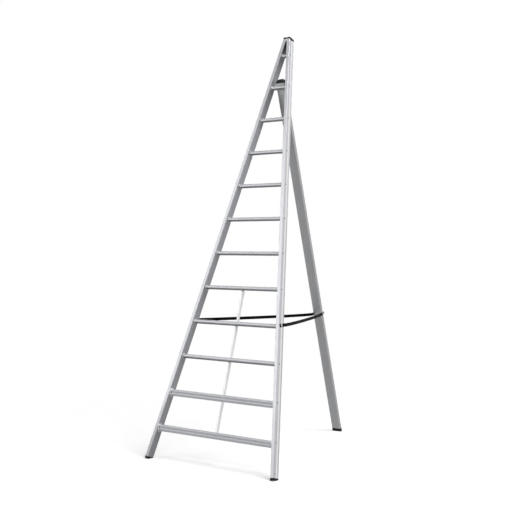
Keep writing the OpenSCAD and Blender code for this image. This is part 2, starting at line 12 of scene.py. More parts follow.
import bpy
import numpy as np
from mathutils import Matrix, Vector


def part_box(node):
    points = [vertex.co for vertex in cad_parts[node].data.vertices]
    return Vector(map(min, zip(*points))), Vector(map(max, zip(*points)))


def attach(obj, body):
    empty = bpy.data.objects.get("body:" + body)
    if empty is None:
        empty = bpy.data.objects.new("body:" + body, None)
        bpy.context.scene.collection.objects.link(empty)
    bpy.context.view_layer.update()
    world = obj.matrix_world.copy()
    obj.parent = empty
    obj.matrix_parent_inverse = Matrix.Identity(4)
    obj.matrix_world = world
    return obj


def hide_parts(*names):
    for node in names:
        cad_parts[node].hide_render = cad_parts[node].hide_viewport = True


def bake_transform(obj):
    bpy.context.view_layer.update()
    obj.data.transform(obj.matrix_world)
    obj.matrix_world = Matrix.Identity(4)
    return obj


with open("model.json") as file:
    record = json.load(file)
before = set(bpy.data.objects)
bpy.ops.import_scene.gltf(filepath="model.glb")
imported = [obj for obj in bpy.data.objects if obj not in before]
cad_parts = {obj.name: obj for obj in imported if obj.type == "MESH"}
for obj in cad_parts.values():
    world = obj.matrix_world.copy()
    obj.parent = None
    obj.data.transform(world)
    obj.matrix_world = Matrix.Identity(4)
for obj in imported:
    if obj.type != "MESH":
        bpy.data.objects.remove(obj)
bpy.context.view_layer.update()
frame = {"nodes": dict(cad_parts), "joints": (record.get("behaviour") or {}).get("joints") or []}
nodes = frame["nodes"]

# %% [markdown]
# The photograph shows the ladder from its right front. A camera was fitted to the ladder's own
# edges in it, and came out nearly eight metres away and 1.66 metres above the ground. Its place,
# its two angles and its focal length in pixels are the results of that fit, so they are written
# down as numbers here. Blender wants the focal length for a sensor of a given width, in
# millimetres.

# %% Camera
PHOTO_PIXELS = 512
FOCAL_PIXELS = 965.857
SENSOR_WIDTH = 36.0
CAMERA_AT = Vector((4.5033, -6.3909, 1.6613))
CAMERA_AZIMUTH = math.radians(36.49)
CAMERA_PITCH = math.radians(-0.7435)

look = Vector((
    -math.sin(CAMERA_AZIMUTH) * math.cos(CAMERA_PITCH),
    math.cos(CAMERA_AZIMUTH) * math.cos(CAMERA_PITCH),
    math.sin(CAMERA_PITCH),
))
camera_data = bpy.data.cameras.new("photo_camera")
camera_data.sensor_width = SENSOR_WIDTH
camera_data.lens = FOCAL_PIXELS / PHOTO_PIXELS * SENSOR_WIDTH
camera = bpy.data.objects.new("photo_camera", camera_data)
camera.location = CAMERA_AT
camera.rotation_mode = "QUATERNION"
camera.rotation_quaternion = look.to_track_quat("-Z", "Y")
bpy.context.scene.collection.objects.link(camera)
bpy.context.scene.camera = camera
bpy.context.scene.view_settings.view_transform = "Standard"
print("lens", round(camera_data.lens, 2), "mm")

# %% [markdown]
# Blender's colours are linear, while people read colours as the 0 to 255 numbers of a picture.
# One small helper turns the second into the first, and another makes a colour darker or paler.

# %% Helpers for colours
def colour(red, green, blue):
    """A picture's 0 to 255 colour as the linear colour that a shader wants."""
    def linear(value):
        value /= 255
        return value / 12.92 if value <= 0.04045 else ((value + 0.055) / 1.055) ** 2.4
    return (linear(red), linear(green), linear(blue), 1.0)


def grey(level):
    return colour(level, level, level)


def tint(shade, factor):
    """The same colour, darker for a factor below 1 and paler for one above it."""
    return tuple(min(1.0, value * factor) for value in shade[:3]) + (1.0,)


print("white of paper, linear:", [round(v, 3) for v in grey(245)[:3]])

# %% [markdown]
# In code, each node of a material has to be made, set and joined. The helpers below do all three
# in one line, so that a material reads like a recipe. The short ones stand for the few nodes that
# come back in nearly every recipe here.

# %% Helpers for nodes
def feed(tree, socket, value):
    """Joins a value that is a socket to this input, and sets any other value on it."""
    if isinstance(value, bpy.types.NodeSocket):
        tree.links.new(value, socket)
    else:
        socket.default_value = value


def add_node(tree, kind, settings=None, **inputs):
    """Adds a node. An input goes by its name, or by i and its number."""
    node = tree.nodes.new(kind)
    for name, value in (settings or {}).items():
        setattr(node, name, value)
    for name, value in inputs.items():
        key = int(name[1:]) if name[0] == "i" and name[1:].isdigit() else name.replace("_", " ")
        feed(tree, node.inputs[key], value)
    return node


def maths(tree, operation, *values):
    inputs = {f"i{k}": value for k, value in enumerate(values)}
    return add_node(tree, "ShaderNodeMath", {"operation": operation}, **inputs).outputs[0]


def vector_maths(tree, operation, out, *values, **named):
    inputs = {f"i{k}": value for k, value in enumerate(values)}
    node = add_node(tree, "ShaderNodeVectorMath", {"operation": operation}, **inputs, **named)
    return node.outputs[out]


def noise(tree, place, scale, detail):
    return add_node(tree, "ShaderNodeTexNoise", Vector=place, Scale=scale, Detail=detail).outputs[0]


def ramp(tree, value, start, full, low=0.0, high=1.0, kind="LINEAR"):
    """Low until the value reaches start, high from full on, and a rise between the two."""
    return add_node(tree, "ShaderNodeMapRange", {"interpolation_type": kind}, Value=value,
                    i1=start, i2=full, i3=low, i4=high).outputs[0]


def mix_colours(tree, amount, first, second):
    """The first colour where the amount is 0, and the second where it is 1."""
    return add_node(tree, "ShaderNodeMix", {"data_type": "RGBA"}, i0=amount, i6=first,
                    i7=second).outputs[2]


def object_place(tree):
    return add_node(tree, "ShaderNodeTexCoord").outputs["Object"]


# %% [markdown]
# A new material comes with one Principled shader, and each recipe here ends in its sockets. An
# effect that several materials share is built once, as a node group with named inputs and
# outputs. Each material then places the group and gives it its own values.

# %% Helpers for materials and groups
def new_material(name):
    """A fresh material, its tree and its Principled shader."""
    material = bpy.data.materials.new(name)
    material.use_nodes = True
    return material, material.node_tree, material.node_tree.nodes["Principled BSDF"]


def new_group(name, inputs, outputs):
    """A shader node group with named sockets; returns the tree, its inputs and its output node."""
    tree = bpy.data.node_groups.new(name, "ShaderNodeTree")
    kinds = {"value": "NodeSocketFloat", "vector": "NodeSocketVector"}
    for label, kind, start in inputs:
        socket = tree.interface.new_socket(label, in_out="INPUT", socket_type=kinds[kind])
        socket.default_value = start
    for label, kind in outputs:
        tree.interface.new_socket(label, in_out="OUTPUT", socket_type=kinds[kind])
    return tree, tree.nodes.new("NodeGroupInput").outputs, tree.nodes.new("NodeGroupOutput").inputs


def use_group(tree, group, **inputs):
    node = tree.nodes.new("ShaderNodeGroup")
    node.node_tree = group
    for name, value in inputs.items():
        feed(tree, node.inputs[name], value)
    return node.outputs


# %% [markdown]
# The bars of such a ladder are pressed through a steel die, which leaves fine lines along the
# whole bar. A noise that is stretched along the bar gives such lines without any picture file.
# The group below takes the bar's direction as a vector, squeezes the coordinates along it, and
# puts out a mask. A broad, cloudy noise comes with it, for tones that change slowly.

# %% Group: die lines along a bar
BROAD_PER_METRE, CLOUDS_PER_METRE = 38.0, 5.0
FINE_SHARE = 0.55

die_lines, given, result = new_group(
    "die lines",
    [("Along", "vector", (0, 0, 1)), ("Spacing", "value", 0.002), ("Stretch", "value", 90.0)],
    [("Lines", "value"), ("Clouds", "value")],
)
place = object_place(die_lines)
share = vector_maths(die_lines, "DOT_PRODUCT", "Value", place, given["Along"])
keep = maths(die_lines, "SUBTRACT", 1.0, maths(die_lines, "DIVIDE", 1.0, given["Stretch"]))
pull = maths(die_lines, "MULTIPLY", share, keep)
squeeze = vector_maths(die_lines, "SCALE", "Vector", given["Along"], Scale=pull)
squeezed = vector_maths(die_lines, "SUBTRACT", "Vector", place, squeeze)
per_metre = maths(die_lines, "DIVIDE", 1.0, given["Spacing"])
fine = noise(die_lines, squeezed, per_metre, detail=3.0)
broad = noise(die_lines, squeezed, BROAD_PER_METRE, detail=2.0)
clouds = noise(die_lines, place, CLOUDS_PER_METRE, detail=4.0)
lines = maths(die_lines, "ADD", maths(die_lines, "MULTIPLY", fine, FINE_SHARE),
              maths(die_lines, "MULTIPLY", broad, 1 - FINE_SHARE))
die_lines.links.new(lines, result["Lines"])
die_lines.links.new(clouds, result["Clouds"])
print("die lines:", len(die_lines.nodes), "nodes")

# %% [markdown]
# A ladder is dragged, stacked and knocked, which rubs its edges bright. Blender's Bevel node
# gives the direction that a slightly rounded edge would have. Where that differs from the flat
# face's own direction there is an edge, and the difference makes the wear mask, broken up by a
# noise. The same rounded direction goes to the shader, so sharp edges catch light.

# %% Group: rubbed edges
EDGE_GAIN = 6.0
BREAK_GAIN, BREAK_START = 2.2, -0.45
BEVEL_SAMPLES = 4

rubbed_edges, given, result = new_group(
    "rubbed edges",
    [("Radius", "value", 0.0012), ("Breakup", "value", 60.0)],
    [("Wear", "value"), ("Rounded", "vector")],
)
rounded = add_node(rubbed_edges, "ShaderNodeBevel", {"samples": BEVEL_SAMPLES},
                   Radius=given["Radius"]).outputs[0]
facing = add_node(rubbed_edges, "ShaderNodeNewGeometry").outputs["Normal"]
same = vector_maths(rubbed_edges, "DOT_PRODUCT", "Value", rounded, facing)
edge = maths(rubbed_edges, "MULTIPLY", maths(rubbed_edges, "SUBTRACT", 1.0, same), EDGE_GAIN)
broken = noise(rubbed_edges, object_place(rubbed_edges), given["Breakup"], detail=3.0)
patchy = maths(rubbed_edges, "MULTIPLY_ADD", broken, BREAK_GAIN, BREAK_START)
wear = add_node(rubbed_edges, "ShaderNodeClamp",
                Value=maths(rubbed_edges, "MULTIPLY", edge, patchy)).outputs[0]
rubbed_edges.links.new(wear, result["Wear"])
rubbed_edges.links.new(rounded, result["Rounded"])
print("rubbed edges:", len(rubbed_edges.nodes), "nodes")

# %% [markdown]
# Faces carry scratches as well. A noise that is stretched in one direction and kept only near its
# peaks gives thin streaks, and two turned copies cross each other. A gentle warp keeps them from
# being ruler-straight, and a broad noise decides where they show, so that they come in patches.
# The smudges are a plain cloudy noise, which the materials use for their gloss.

# %% Group: scuffs and smudges
WARP_PER_METRE, WARP_REACH = 6.0, (0.03, 0.03, 0.03)
SCRATCH_TURNS = ((0.5, 0.9, 0.3), (1.2, -0.4, 2.0))
SCRATCH_STRETCH = (22.0, 22.0, 0.7)
SCRATCH_START, SCRATCH_FULL = 0.70, 0.74
PATCH_PER_METRE, PATCH_CUT, PATCH_GAIN = 14.0, 0.68, 0.4
SMUDGE_PER_METRE = 3.5

scuffs, given, result = new_group(
    "scuffs",
    [("Size", "value", 0.05), ("Amount", "value", 0.3)],
    [("Scratches", "value"), ("Smudges", "value")],
)
place = object_place(scuffs)
warp = add_node(scuffs, "ShaderNodeTexNoise", Vector=place, Scale=WARP_PER_METRE,
                Detail=1.0).outputs["Color"]
bent = vector_maths(scuffs, "MULTIPLY_ADD", "Vector", warp, WARP_REACH, place)
scratch_scale = maths(scuffs, "DIVIDE", 1.0, given["Size"])
scratches = 0.0
for turn in SCRATCH_TURNS:
    turned = add_node(scuffs, "ShaderNodeVectorRotate", {"rotation_type": "EULER_XYZ"},
                      Vector=bent, Rotation=turn).outputs[0]
    drawn = vector_maths(scuffs, "MULTIPLY", "Vector", turned, SCRATCH_STRETCH)
    streak = noise(scuffs, drawn, scratch_scale, detail=1.0)
    thin = ramp(scuffs, streak, SCRATCH_START, SCRATCH_FULL)
    scratches = maths(scuffs, "MAXIMUM", scratches, thin)
cut = maths(scuffs, "SUBTRACT", PATCH_CUT,
            maths(scuffs, "MULTIPLY", given["Amount"], PATCH_GAIN))
where = noise(scuffs, place, PATCH_PER_METRE, detail=2.0)
chosen = maths(scuffs, "GREATER_THAN", where, cut)
smudges = noise(scuffs, bent, SMUDGE_PER_METRE, detail=5.0)
scuffs.links.new(maths(scuffs, "MULTIPLY", scratches, chosen), result["Scratches"])
scuffs.links.new(smudges, result["Smudges"])
print("wear groups:", [g.name for g in bpy.data.node_groups])

# %% [markdown]
# The next group tells the faces of a stile apart, and for that it has to measure. A dot product
# of a point's place with a direction says how far along that direction the point lies. Two smooth
# ramps, one up and one down, then turn that distance into a mask with soft borders.

# %% Helpers for bands of a face
def band(tree, value, start, full, end, gone):
    """A mask that rises from start to full and falls from end to gone."""
    rise = ramp(tree, value, start, full, kind="SMOOTHSTEP")
    fall = ramp(tree, value, end, gone, 1.0, 0.0, kind="SMOOTHSTEP")
    return maths(tree, "MULTIPLY", rise, fall)


def distance_along(tree, place, direction, middle):
    """How far a point lies along a direction, counted from the middle."""
    return maths(tree, "SUBTRACT",
                 vector_maths(tree, "DOT_PRODUCT", "Value", place, direction), middle)


# %% [markdown]
# In the photograph a stile doesn't have one tone all round. Its colour carries painted light and
# shade: a painted highlight, in patches, on the rear slope of the shallow channel in its outer
# face, a little painted shade on the strip behind it, painted shade on the face between the rungs,
# most of all near the tip, and painted shade on the lowest half metre. The lamps alone don't give
# this light and shade, so it is painted into the colour. The lamps alone don't give these tones,
# so they are held in the colour; whether dirt, wear or a reflection makes them on the real ladder
# is a guess. One group measures how far out and how far back from the stile's middle a point lies,
# and how high, and puts out one mask for each.

# %% Group: faces of a stile
# Each band says where its mask starts, where it is full, where it begins to end and where it is
# gone, in metres from the stile's middle or above the ground.
OUTER_FACE = (0.0118, 0.0124, 0.1, 0.2)
REAR_SLOPE = (-0.005, 0.001, 0.011, 0.014)
REAR_STRIP = (0.014, 0.018, 0.1, 0.2)
INNER_FACE = (-0.2, -0.1, -0.0149, -0.0145)
NEAR_TIP = (2.95, 3.25, 9.0, 10.0)
NEAR_GROUND = (-2.0, -1.0, 0.05, 0.55)
# The inner face's mask weakens between two heights, from the first strength to the second.
INNER_FADE = (0.3, 2.2, 1.0, 0.62)
# How the painted highlight on the channel's rear slope breaks into patches.
HIGHLIGHT_PATCHES_PER_METRE, HIGHLIGHT_PATCH_GAIN, HIGHLIGHT_PATCH_START = 22.0, 0.6, 0.7

stile_faces, given, result = new_group(
    "stile faces",
    [("Outward", "vector", (1, 0, 0)), ("Middle", "value", 0.0), ("Backward", "vector", (0, 1, 0)),
     ("Plane", "value", 0.0)],
    [("Painted Highlight", "value"), ("Rear Strip", "value"), ("Inside", "value"), ("Tip", "value"),
     ("Low", "value")],
)
place = object_place(stile_faces)
out = distance_along(stile_faces, place, given["Outward"], given["Middle"])
back = distance_along(stile_faces, place, given["Backward"], given["Plane"])
height = add_node(stile_faces, "ShaderNodeSeparateXYZ", i0=place).outputs["Z"]
patches = noise(stile_faces, place, HIGHLIGHT_PATCHES_PER_METRE, detail=3.0)
patchy_highlight = maths(stile_faces, "MULTIPLY_ADD", patches, HIGHLIGHT_PATCH_GAIN, HIGHLIGHT_PATCH_START)
outer = band(stile_faces, out, *OUTER_FACE)
inner = band(stile_faces, out, *INNER_FACE)
slope = maths(stile_faces, "MULTIPLY", outer, band(stile_faces, back, *REAR_SLOPE))
# One mask for the painted highlight and one for each painted shade.
masks = {
    "Painted Highlight": maths(stile_faces, "MULTIPLY", slope, patchy_highlight),
    "Rear Strip": maths(stile_faces, "MULTIPLY", outer, band(stile_faces, back, *REAR_STRIP)),
    "Inside": maths(stile_faces, "MULTIPLY", inner, ramp(stile_faces, height, *INNER_FADE)),
    "Tip": maths(stile_faces, "MULTIPLY", inner, band(stile_faces, height, *NEAR_TIP)),
    "Low": band(stile_faces, height, *NEAR_GROUND),
}
for name, mask in masks.items():
    stile_faces.links.new(mask, result[name])
print("stile faces:", len(stile_faces.nodes), "nodes")

# %% [markdown]
# Plain aluminium isn't a mirror. Part of the light scatters as it does on paint, and part is
# reflected in a soft blur. A Principled shader with a low Metallic and a middling roughness does
# this better than a fully metallic one, which would turn black or white with whatever stands
# round it. One function makes every aluminium in the ladder; the colour, the direction of the
# bar, the gloss and the wear change. A rung can also get painted light or painted shade on what
# looks up or down, which the height of the face's own direction tells, from -1 for straight down
# to 1 for up.

# %% Painted light and shade on what looks up or down
LOOKS_UP, LOOKS_DOWN = (0.10, 0.40), (-0.10, -0.45)


def paint_facing_light(tree, skin, shade, above, under):
    """Paints light or shade over what looks up and what looks down; 1 leaves it as it is."""
    for factor, (start, full) in ((above, LOOKS_UP), (under, LOOKS_DOWN)):
        if factor != 1.0:
            facing = add_node(tree, "ShaderNodeNewGeometry").outputs["Normal"]
            rise = add_node(tree, "ShaderNodeSeparateXYZ", i0=facing).outputs["Z"]
            skin = mix_colours(tree, ramp(tree, rise, start, full), skin, tint(shade, factor))
    return skin


# %% [markdown]
# The colours are laid over each other in this order: the streaks of the die, the painted light
# and shade of top and bottom, the painted highlight and shade of a stile's faces, the rubbed
# edges, and the scratches. The streaks, smudges and rubbed edges also change how blurred the
# reflections are, and the die lines and scratches stand out a little as relief.

# %% Aluminium
DIE_SPACING = 0.0022
SCUFF_SIZE, SCUFF_AMOUNT, SCRATCH_SHOW, SCRATCH_DEPTH = 0.06, 0.35, 0.25, 0.5
EDGE_TINT = 1.3
# How much paler the painted highlight and how much darker each painted shade makes a stile.
FACE_LIGHT_AND_SHADE = {"Painted Highlight": 1.7, "Rear Strip": 0.85, "Inside": 0.55, "Tip": 0.22}
SMUDGE_BLUR, LINE_BLUR, WEAR_GLOSS = 0.14, 0.10, 0.10
BUMP_STRENGTH, BUMP_HEIGHT = 0.22, 0.0006


def aluminium(name, shade, along, metallic=0.3, rough=0.30, uneven=0.20, worn=0.6, stile=None,
              low=1.0, above=1.0, under=1.0):
    material, tree, shader = new_material(name)
    shader.inputs["Metallic"].default_value = metallic
    bar = use_group(tree, die_lines, Along=along, Spacing=DIE_SPACING)
    rub = use_group(tree, rubbed_edges)
    marks = use_group(tree, scuffs, Size=SCUFF_SIZE, Amount=SCUFF_AMOUNT)
    streaks = maths(tree, "MULTIPLY", maths(tree, "ADD", bar["Lines"], bar["Clouds"]), 0.5)
    skin = mix_colours(tree, streaks, tint(shade, 1 - uneven), tint(shade, 1 + uneven))
    skin = paint_facing_light(tree, skin, shade, above, under)
    # On a stile these masks paint a highlight and shade into the colour; low is its painted shade
    # near the ground.
    if stile:
        faces = use_group(tree, stile_faces, **stile)
        for mask, factor in {"Low": low, **FACE_LIGHT_AND_SHADE}.items():
            skin = mix_colours(tree, faces[mask], skin, tint(shade, factor))
    bright = tint(shade, EDGE_TINT)
    skin = mix_colours(tree, maths(tree, "MULTIPLY", rub["Wear"], worn), skin, bright)
    skin = mix_colours(tree, maths(tree, "MULTIPLY", marks["Scratches"], SCRATCH_SHOW), skin, bright)
    tree.links.new(skin, shader.inputs["Base Color"])
    blur = maths(tree, "MULTIPLY_ADD", marks["Smudges"], SMUDGE_BLUR, rough - SMUDGE_BLUR / 2)
    blur = maths(tree, "MULTIPLY_ADD", bar["Lines"], LINE_BLUR,
                 maths(tree, "SUBTRACT", blur, LINE_BLUR / 2))
    blur = maths(tree, "MULTIPLY_ADD", rub["Wear"], -WEAR_GLOSS, blur)
    tree.links.new(blur, shader.inputs["Roughness"])
    relief = maths(tree, "SUBTRACT", bar["Lines"],
                   maths(tree, "MULTIPLY", marks["Scratches"], SCRATCH_DEPTH))
    bump = add_node(tree, "ShaderNodeBump", Strength=BUMP_STRENGTH, Distance=BUMP_HEIGHT,
                    Height=relief, Normal=rub["Rounded"])
    tree.links.new(bump.outputs[0], shader.inputs["Normal"])
    return material


# %% [markdown]
# The die lines run along each bar, so a finish has to know where its bar points. The front frame
# is drawn upright and then leans back, and its stiles lean towards each other by the taper, so
# that their inner faces meet at the tip. A direction of the right stile, with its side turned
# round, is one of the left. The sizes are those of the drawing, in metres and degrees.

# %% Directions of the bars
LEAN = math.radians(17.36)
LEG_ANGLE = math.radians(16.38)
BASE_WIDTH = 1.190
FRAME_LENGTH = 3.488
HALF_STILE = 0.015
STILE_DEPTH, STILE_CORNER = 0.065, 0.004
GROUND_Y = -0.89291
TAPER = math.acos(HALF_STILE / math.hypot(BASE_WIDTH / 2, FRAME_LENGTH)) - math.atan2(
    FRAME_LENGTH, BASE_WIDTH / 2)


def lean_back(x, y, z):
    """A direction of the upright front frame, as it points once the frame leans back."""
    return Vector((x, y * math.cos(LEAN) + z * math.sin(LEAN),
                   z * math.cos(LEAN) - y * math.sin(LEAN)))


def stile_direction(x, y, z, side=1):
    """Outward, backward and up a stile, as a direction of the whole ladder."""
    right = lean_back(x * math.cos(TAPER) - z * math.sin(TAPER), y,
                      x * math.sin(TAPER) + z * math.cos(TAPER))
    return Vector((side * right.x, right.y, right.z))


def stile_foot(side=1):
    """Where the middle line of a stile meets the ground."""
    return Vector((side * BASE_WIDTH / 2, GROUND_Y, 0))


def leg_direction(x, y, z):
    return Vector((x, y * math.cos(LEG_ANGLE) - z * math.sin(LEG_ANGLE),
                   y * math.sin(LEG_ANGLE) + z * math.cos(LEG_ANGLE)))


def stile_middle(side):
    """Where a stile's middle lies, outward and backward, for the group of its faces."""
    outward, backward = stile_direction(1, 0, 0, side), lean_back(0, 1, 0)
    return {"Outward": outward, "Middle": outward.dot(stile_foot(side)), "Backward": backward,
            "Plane": backward.dot(stile_foot(side))}


print("taper of a stile:", round(math.degrees(TAPER), 3), "degrees")

# %% [markdown]
# The greys below were set by comparing the render with the photograph. There the left stile is a
# little darker than the right one, above all near the ground; the right stile's paler grey is
# painted light on the same metal, and the darker foot of each stile is painted shade. The rear
# leg is darker than both. The plain rungs get painted shade below, and the two double ones a
# paler grey with painted shade above and painted light below. The brace is the palest bar.

# %% Finish of each aluminium part
finishes = {
    # The right stile's paler grey is painted light; low is painted shade near each stile's foot.
    "stile_left": aluminium("stile aluminium left", colour(202, 203, 208),
                            stile_direction(0, 0, 1, side=-1), stile=stile_middle(-1), low=0.62),
    "stile_right": aluminium("stile aluminium right", colour(213, 214, 219),
                             stile_direction(0, 0, 1), stile=stile_middle(1), low=0.90),
    "centre_brace": aluminium("brace aluminium", colour(240, 241, 244), lean_back(0, 0, 1),
                              metallic=0.5),
    "rear_leg_tube": aluminium("leg aluminium", colour(188, 189, 191), leg_direction(0, 0, 1),
                               uneven=0.18),
}
# Painted shade below the plain rungs; painted shade on top and painted light below the double ones.
plain_rung = aluminium("rung aluminium", colour(194, 195, 199), (1, 0, 0), under=0.5)
double_rung = aluminium("double rung aluminium", colour(203, 205, 210), (1, 0, 0), above=0.66,
                        under=1.35)
cheek_plate = aluminium("cheek aluminium", grey(198), (0, 1, 0))
RUNGS = range(1, 13)
FIRST_DOUBLE = 11
for number in RUNGS:
    finishes[f"rung_{number:02d}"] = double_rung if number >= FIRST_DOUBLE else plain_rung
for side in ("left", "right"):
    finishes[f"hinge_cheek_{side}"] = cheek_plate
print("aluminium finishes:", len(set(finishes.values())))

# %% [markdown]
# The caps and feet are moulded: the caps are drawn as a hard black plastic with a fine grain, the
# feet as rubber with a little pale dust low down, and the hinge's spacers as nylon. None of them
# is a metal, so all their character is in the roughness and in a grain that is far smaller than
# a pixel from afar but shows near by.

# %% Moulded plastic and rubber
DUST = colour(150, 146, 138)
DUST_HEIGHT = 0.05
RUB_SHOW = 0.06
MOULD_EDGE, MOULD_SCUFF, MOULD_AMOUNT, MOULD_BLUR = 0.0016, 0.03, 0.4, 0.2
GRAIN_STRENGTH, GRAIN_HEIGHT = 0.3, 0.0002


def moulded(name, shade, rough, grain, dusty, gloss):
    material, tree, shader = new_material(name)
    place = object_place(tree)
    rub = use_group(tree, rubbed_edges, Radius=MOULD_EDGE)
    marks = use_group(tree, scuffs, Size=MOULD_SCUFF, Amount=MOULD_AMOUNT)
    height = add_node(tree, "ShaderNodeSeparateXYZ", i0=place).outputs["Z"]
    low_down = ramp(tree, height, 0.0, DUST_HEIGHT, 1.0, 0.0)
    dust = maths(tree, "MULTIPLY", maths(tree, "MULTIPLY", low_down, marks["Smudges"]), dusty)
    paler = maths(tree, "MAXIMUM", maths(tree, "MULTIPLY", rub["Wear"], RUB_SHOW), dust)
    tree.links.new(mix_colours(tree, paler, shade, DUST), shader.inputs["Base Color"])
    blur = maths(tree, "MULTIPLY_ADD", marks["Smudges"], MOULD_BLUR, rough - MOULD_BLUR / 2)
    tree.links.new(blur, shader.inputs["Roughness"])
    grains = noise(tree, place, 1 / grain, detail=2.0)
    bump = add_node(tree, "ShaderNodeBump", Strength=GRAIN_STRENGTH, Distance=GRAIN_HEIGHT,
                    Height=grains, Normal=rub["Rounded"])
    tree.links.new(bump.outputs[0], shader.inputs["Normal"])
    shader.inputs["Specular IOR Level"].default_value = gloss
    return material


cap_plastic = moulded("cap plastic", grey(9), rough=0.45, grain=0.0009, dusty=0.0, gloss=0.25)
foot_rubber = moulded("foot rubber", grey(12), rough=0.62, grain=0.0014, dusty=0.10, gloss=0.20)
spacer_nylon = moulded("spacer nylon", colour(226, 224, 214), rough=0.45, grain=0.0010, dusty=0.0,
                       gloss=0.5)
for name in ("top_cap_left", "top_cap_right", "leg_top_cap"):
    finishes[name] = cap_plastic
for name in ("front_foot_left", "front_foot_right", "rear_foot"):
    finishes[name] = foot_rubber
finishes["hinge_spacers"] = spacer_nylon
print("moulded finishes:", cap_plastic.name, foot_rubber.name, spacer_nylon.name)

# %% [markdown]
# Bolts, washers, nuts and the hinge's sleeve are drawn as steel with a zinc skin, which is bright,
# slightly cold and cloudy. This one is fully metallic, because the pieces are small and round and
# it is their sparkle that tells them from the aluminium behind them. The rung screws and the rivets
# are dark dots in the photograph, so they get a much darker steel from the same recipe; on the
# rung screws that darkness is partly painted shade of the seats round their heads.

# %% Zinc-plated and dark steel
PLATE_EDGE, PLATE_BREAKUP, PLATE_SCUFF, PLATE_AMOUNT = 0.0006, 200.0, 0.008, 0.5
BLOOM_GAIN, BLOOM_START = 0.8, 0.1
PLATE_BLUR, PLATE_ROUGH = 0.3, 0.18
PLATE_BUMP, PLATE_BUMP_HEIGHT = 0.15, 0.0001


def zinc_plate(name, dark, light):
    material, tree, shader = new_material(name)
    shader.inputs["Metallic"].default_value = 1.0
    rub = use_group(tree, rubbed_edges, Radius=PLATE_EDGE, Breakup=PLATE_BREAKUP)
    marks = use_group(tree, scuffs, Size=PLATE_SCUFF, Amount=PLATE_AMOUNT)
    bloom = maths(tree, "MULTIPLY_ADD", marks["Smudges"], BLOOM_GAIN, BLOOM_START)
    tree.links.new(mix_colours(tree, bloom, dark, light), shader.inputs["Base Color"])
    tree.links.new(maths(tree, "MULTIPLY_ADD", marks["Smudges"], PLATE_BLUR, PLATE_ROUGH),
                   shader.inputs["Roughness"])
    bump = add_node(tree, "ShaderNodeBump", Strength=PLATE_BUMP, Distance=PLATE_BUMP_HEIGHT,
                    Height=marks["Scratches"], Normal=rub["Rounded"])
    tree.links.new(bump.outputs[0], shader.inputs["Normal"])
    return material


zinc = zinc_plate("zinc plated steel", colour(176, 178, 182), colour(216, 217, 216))
# A much darker steel, partly painted shade of the seats round the rung screws' heads.
dark_steel = zinc_plate("screw steel with painted shade", colour(34, 34, 38), colour(66, 66, 70))
plated = ("hinge_bolt", "hinge_nut", "hinge_washers", "hinge_sleeve", "strap_stile_screws",
          "strap_stile_washers", "strap_rivet_nuts", "strap_leg_bolt", "strap_leg_nut",
          "strap_leg_washers")
for name in plated:
    finishes[name] = zinc
for name in ("rung_screws_left", "rung_screws_right", "front_foot_rivets", "rear_foot_rivets"):
    finishes[name] = dark_steel
for name, finish in finishes.items():
    nodes[name].data.materials.clear()
    nodes[name].data.materials.append(finish)
print("nodes with a finish:", len(finishes), "of", len(nodes))

# %% [markdown]
# Weld beads, cap lips and straps all have the same make-up: a row of rings, each with the same
# number of corners, that is closed into a tube. Two helpers do that for all of them. The first
# lists the faces between the rings, and the second makes one object from several such tubes.

# %% Helpers for tubes
def tube_faces(rings, sides, closed=False, flipped=False):
    """Faces of a tube: between its rings, and on both ends unless it is closed."""
    faces = []
    for k in range(rings if closed else rings - 1):
        here, there = k * sides, (k + 1) % rings * sides
        for s in range(sides):
            t = (s + 1) % sides
            faces.append((here + s, here + t, there + t, there + s))
    if not closed:
        faces.append(tuple(range(sides))[::-1])
        faces.append(tuple(range((rings - 1) * sides, rings * sides)))
    return [face[::-1] for face in faces] if flipped else faces


def mesh_piece(name, parts, finish, smooth=True):
    """One object from several sets of vertices and faces."""
    corners, faces, start = [], [], 0
    for vertices, polygons in parts:
        corners.append(vertices)
        faces += [tuple(v + start for v in polygon) for polygon in polygons]
        start += len(vertices)
    mesh = bpy.data.meshes.new(name)
    mesh.from_pydata(np.vstack(corners).tolist(), [], faces)
    mesh.validate()
    mesh.polygons.foreach_set("use_smooth", [smooth] * len(mesh.polygons))
    mesh.materials.append(finish)
    piece = bpy.data.objects.new(name, mesh)
    bpy.context.scene.collection.objects.link(piece)
    return piece


# %% [markdown]
# Each rung is welded into the stiles. A bead from a wire welder is a row of small overlapping
# ripples, a little uneven because a hand moved it. It could be faked with a bump, but from near
# by the outline of the joint is what the eye reads, so each bead is a real tube that follows the
# rung's outline, half sunk in both parts, whose thickness swells and shrinks with the ripples.

# %% A bead along any line
BEAD_STEP = 0.00075
BEAD_SIDES = 8
RIPPLE, RIPPLE_SWELL = 0.0030, 0.10
HAND_STEP, HAND_DRIFT = 0.012, 0.13
BLUNT_END = 0.05
bead_hand = np.random.default_rng(12)


def resample(points, step, closed):
    """The same line with its points an even step apart, and their distances along it."""
    points = np.asarray(points, float)
    if closed:
        points = np.vstack([points, points[:1]])
    lengths = np.r_[0, np.cumsum(np.linalg.norm(np.diff(points, axis=0), axis=1))]
    count = max(4, int(round(lengths[-1] / step)))
    at = np.linspace(0, lengths[-1], count, endpoint=not closed)
    return np.stack([np.interp(at, lengths, points[:, k]) for k in range(3)], axis=1), at


def unit(vectors):
    return vectors / np.linalg.norm(vectors, axis=1, keepdims=True)


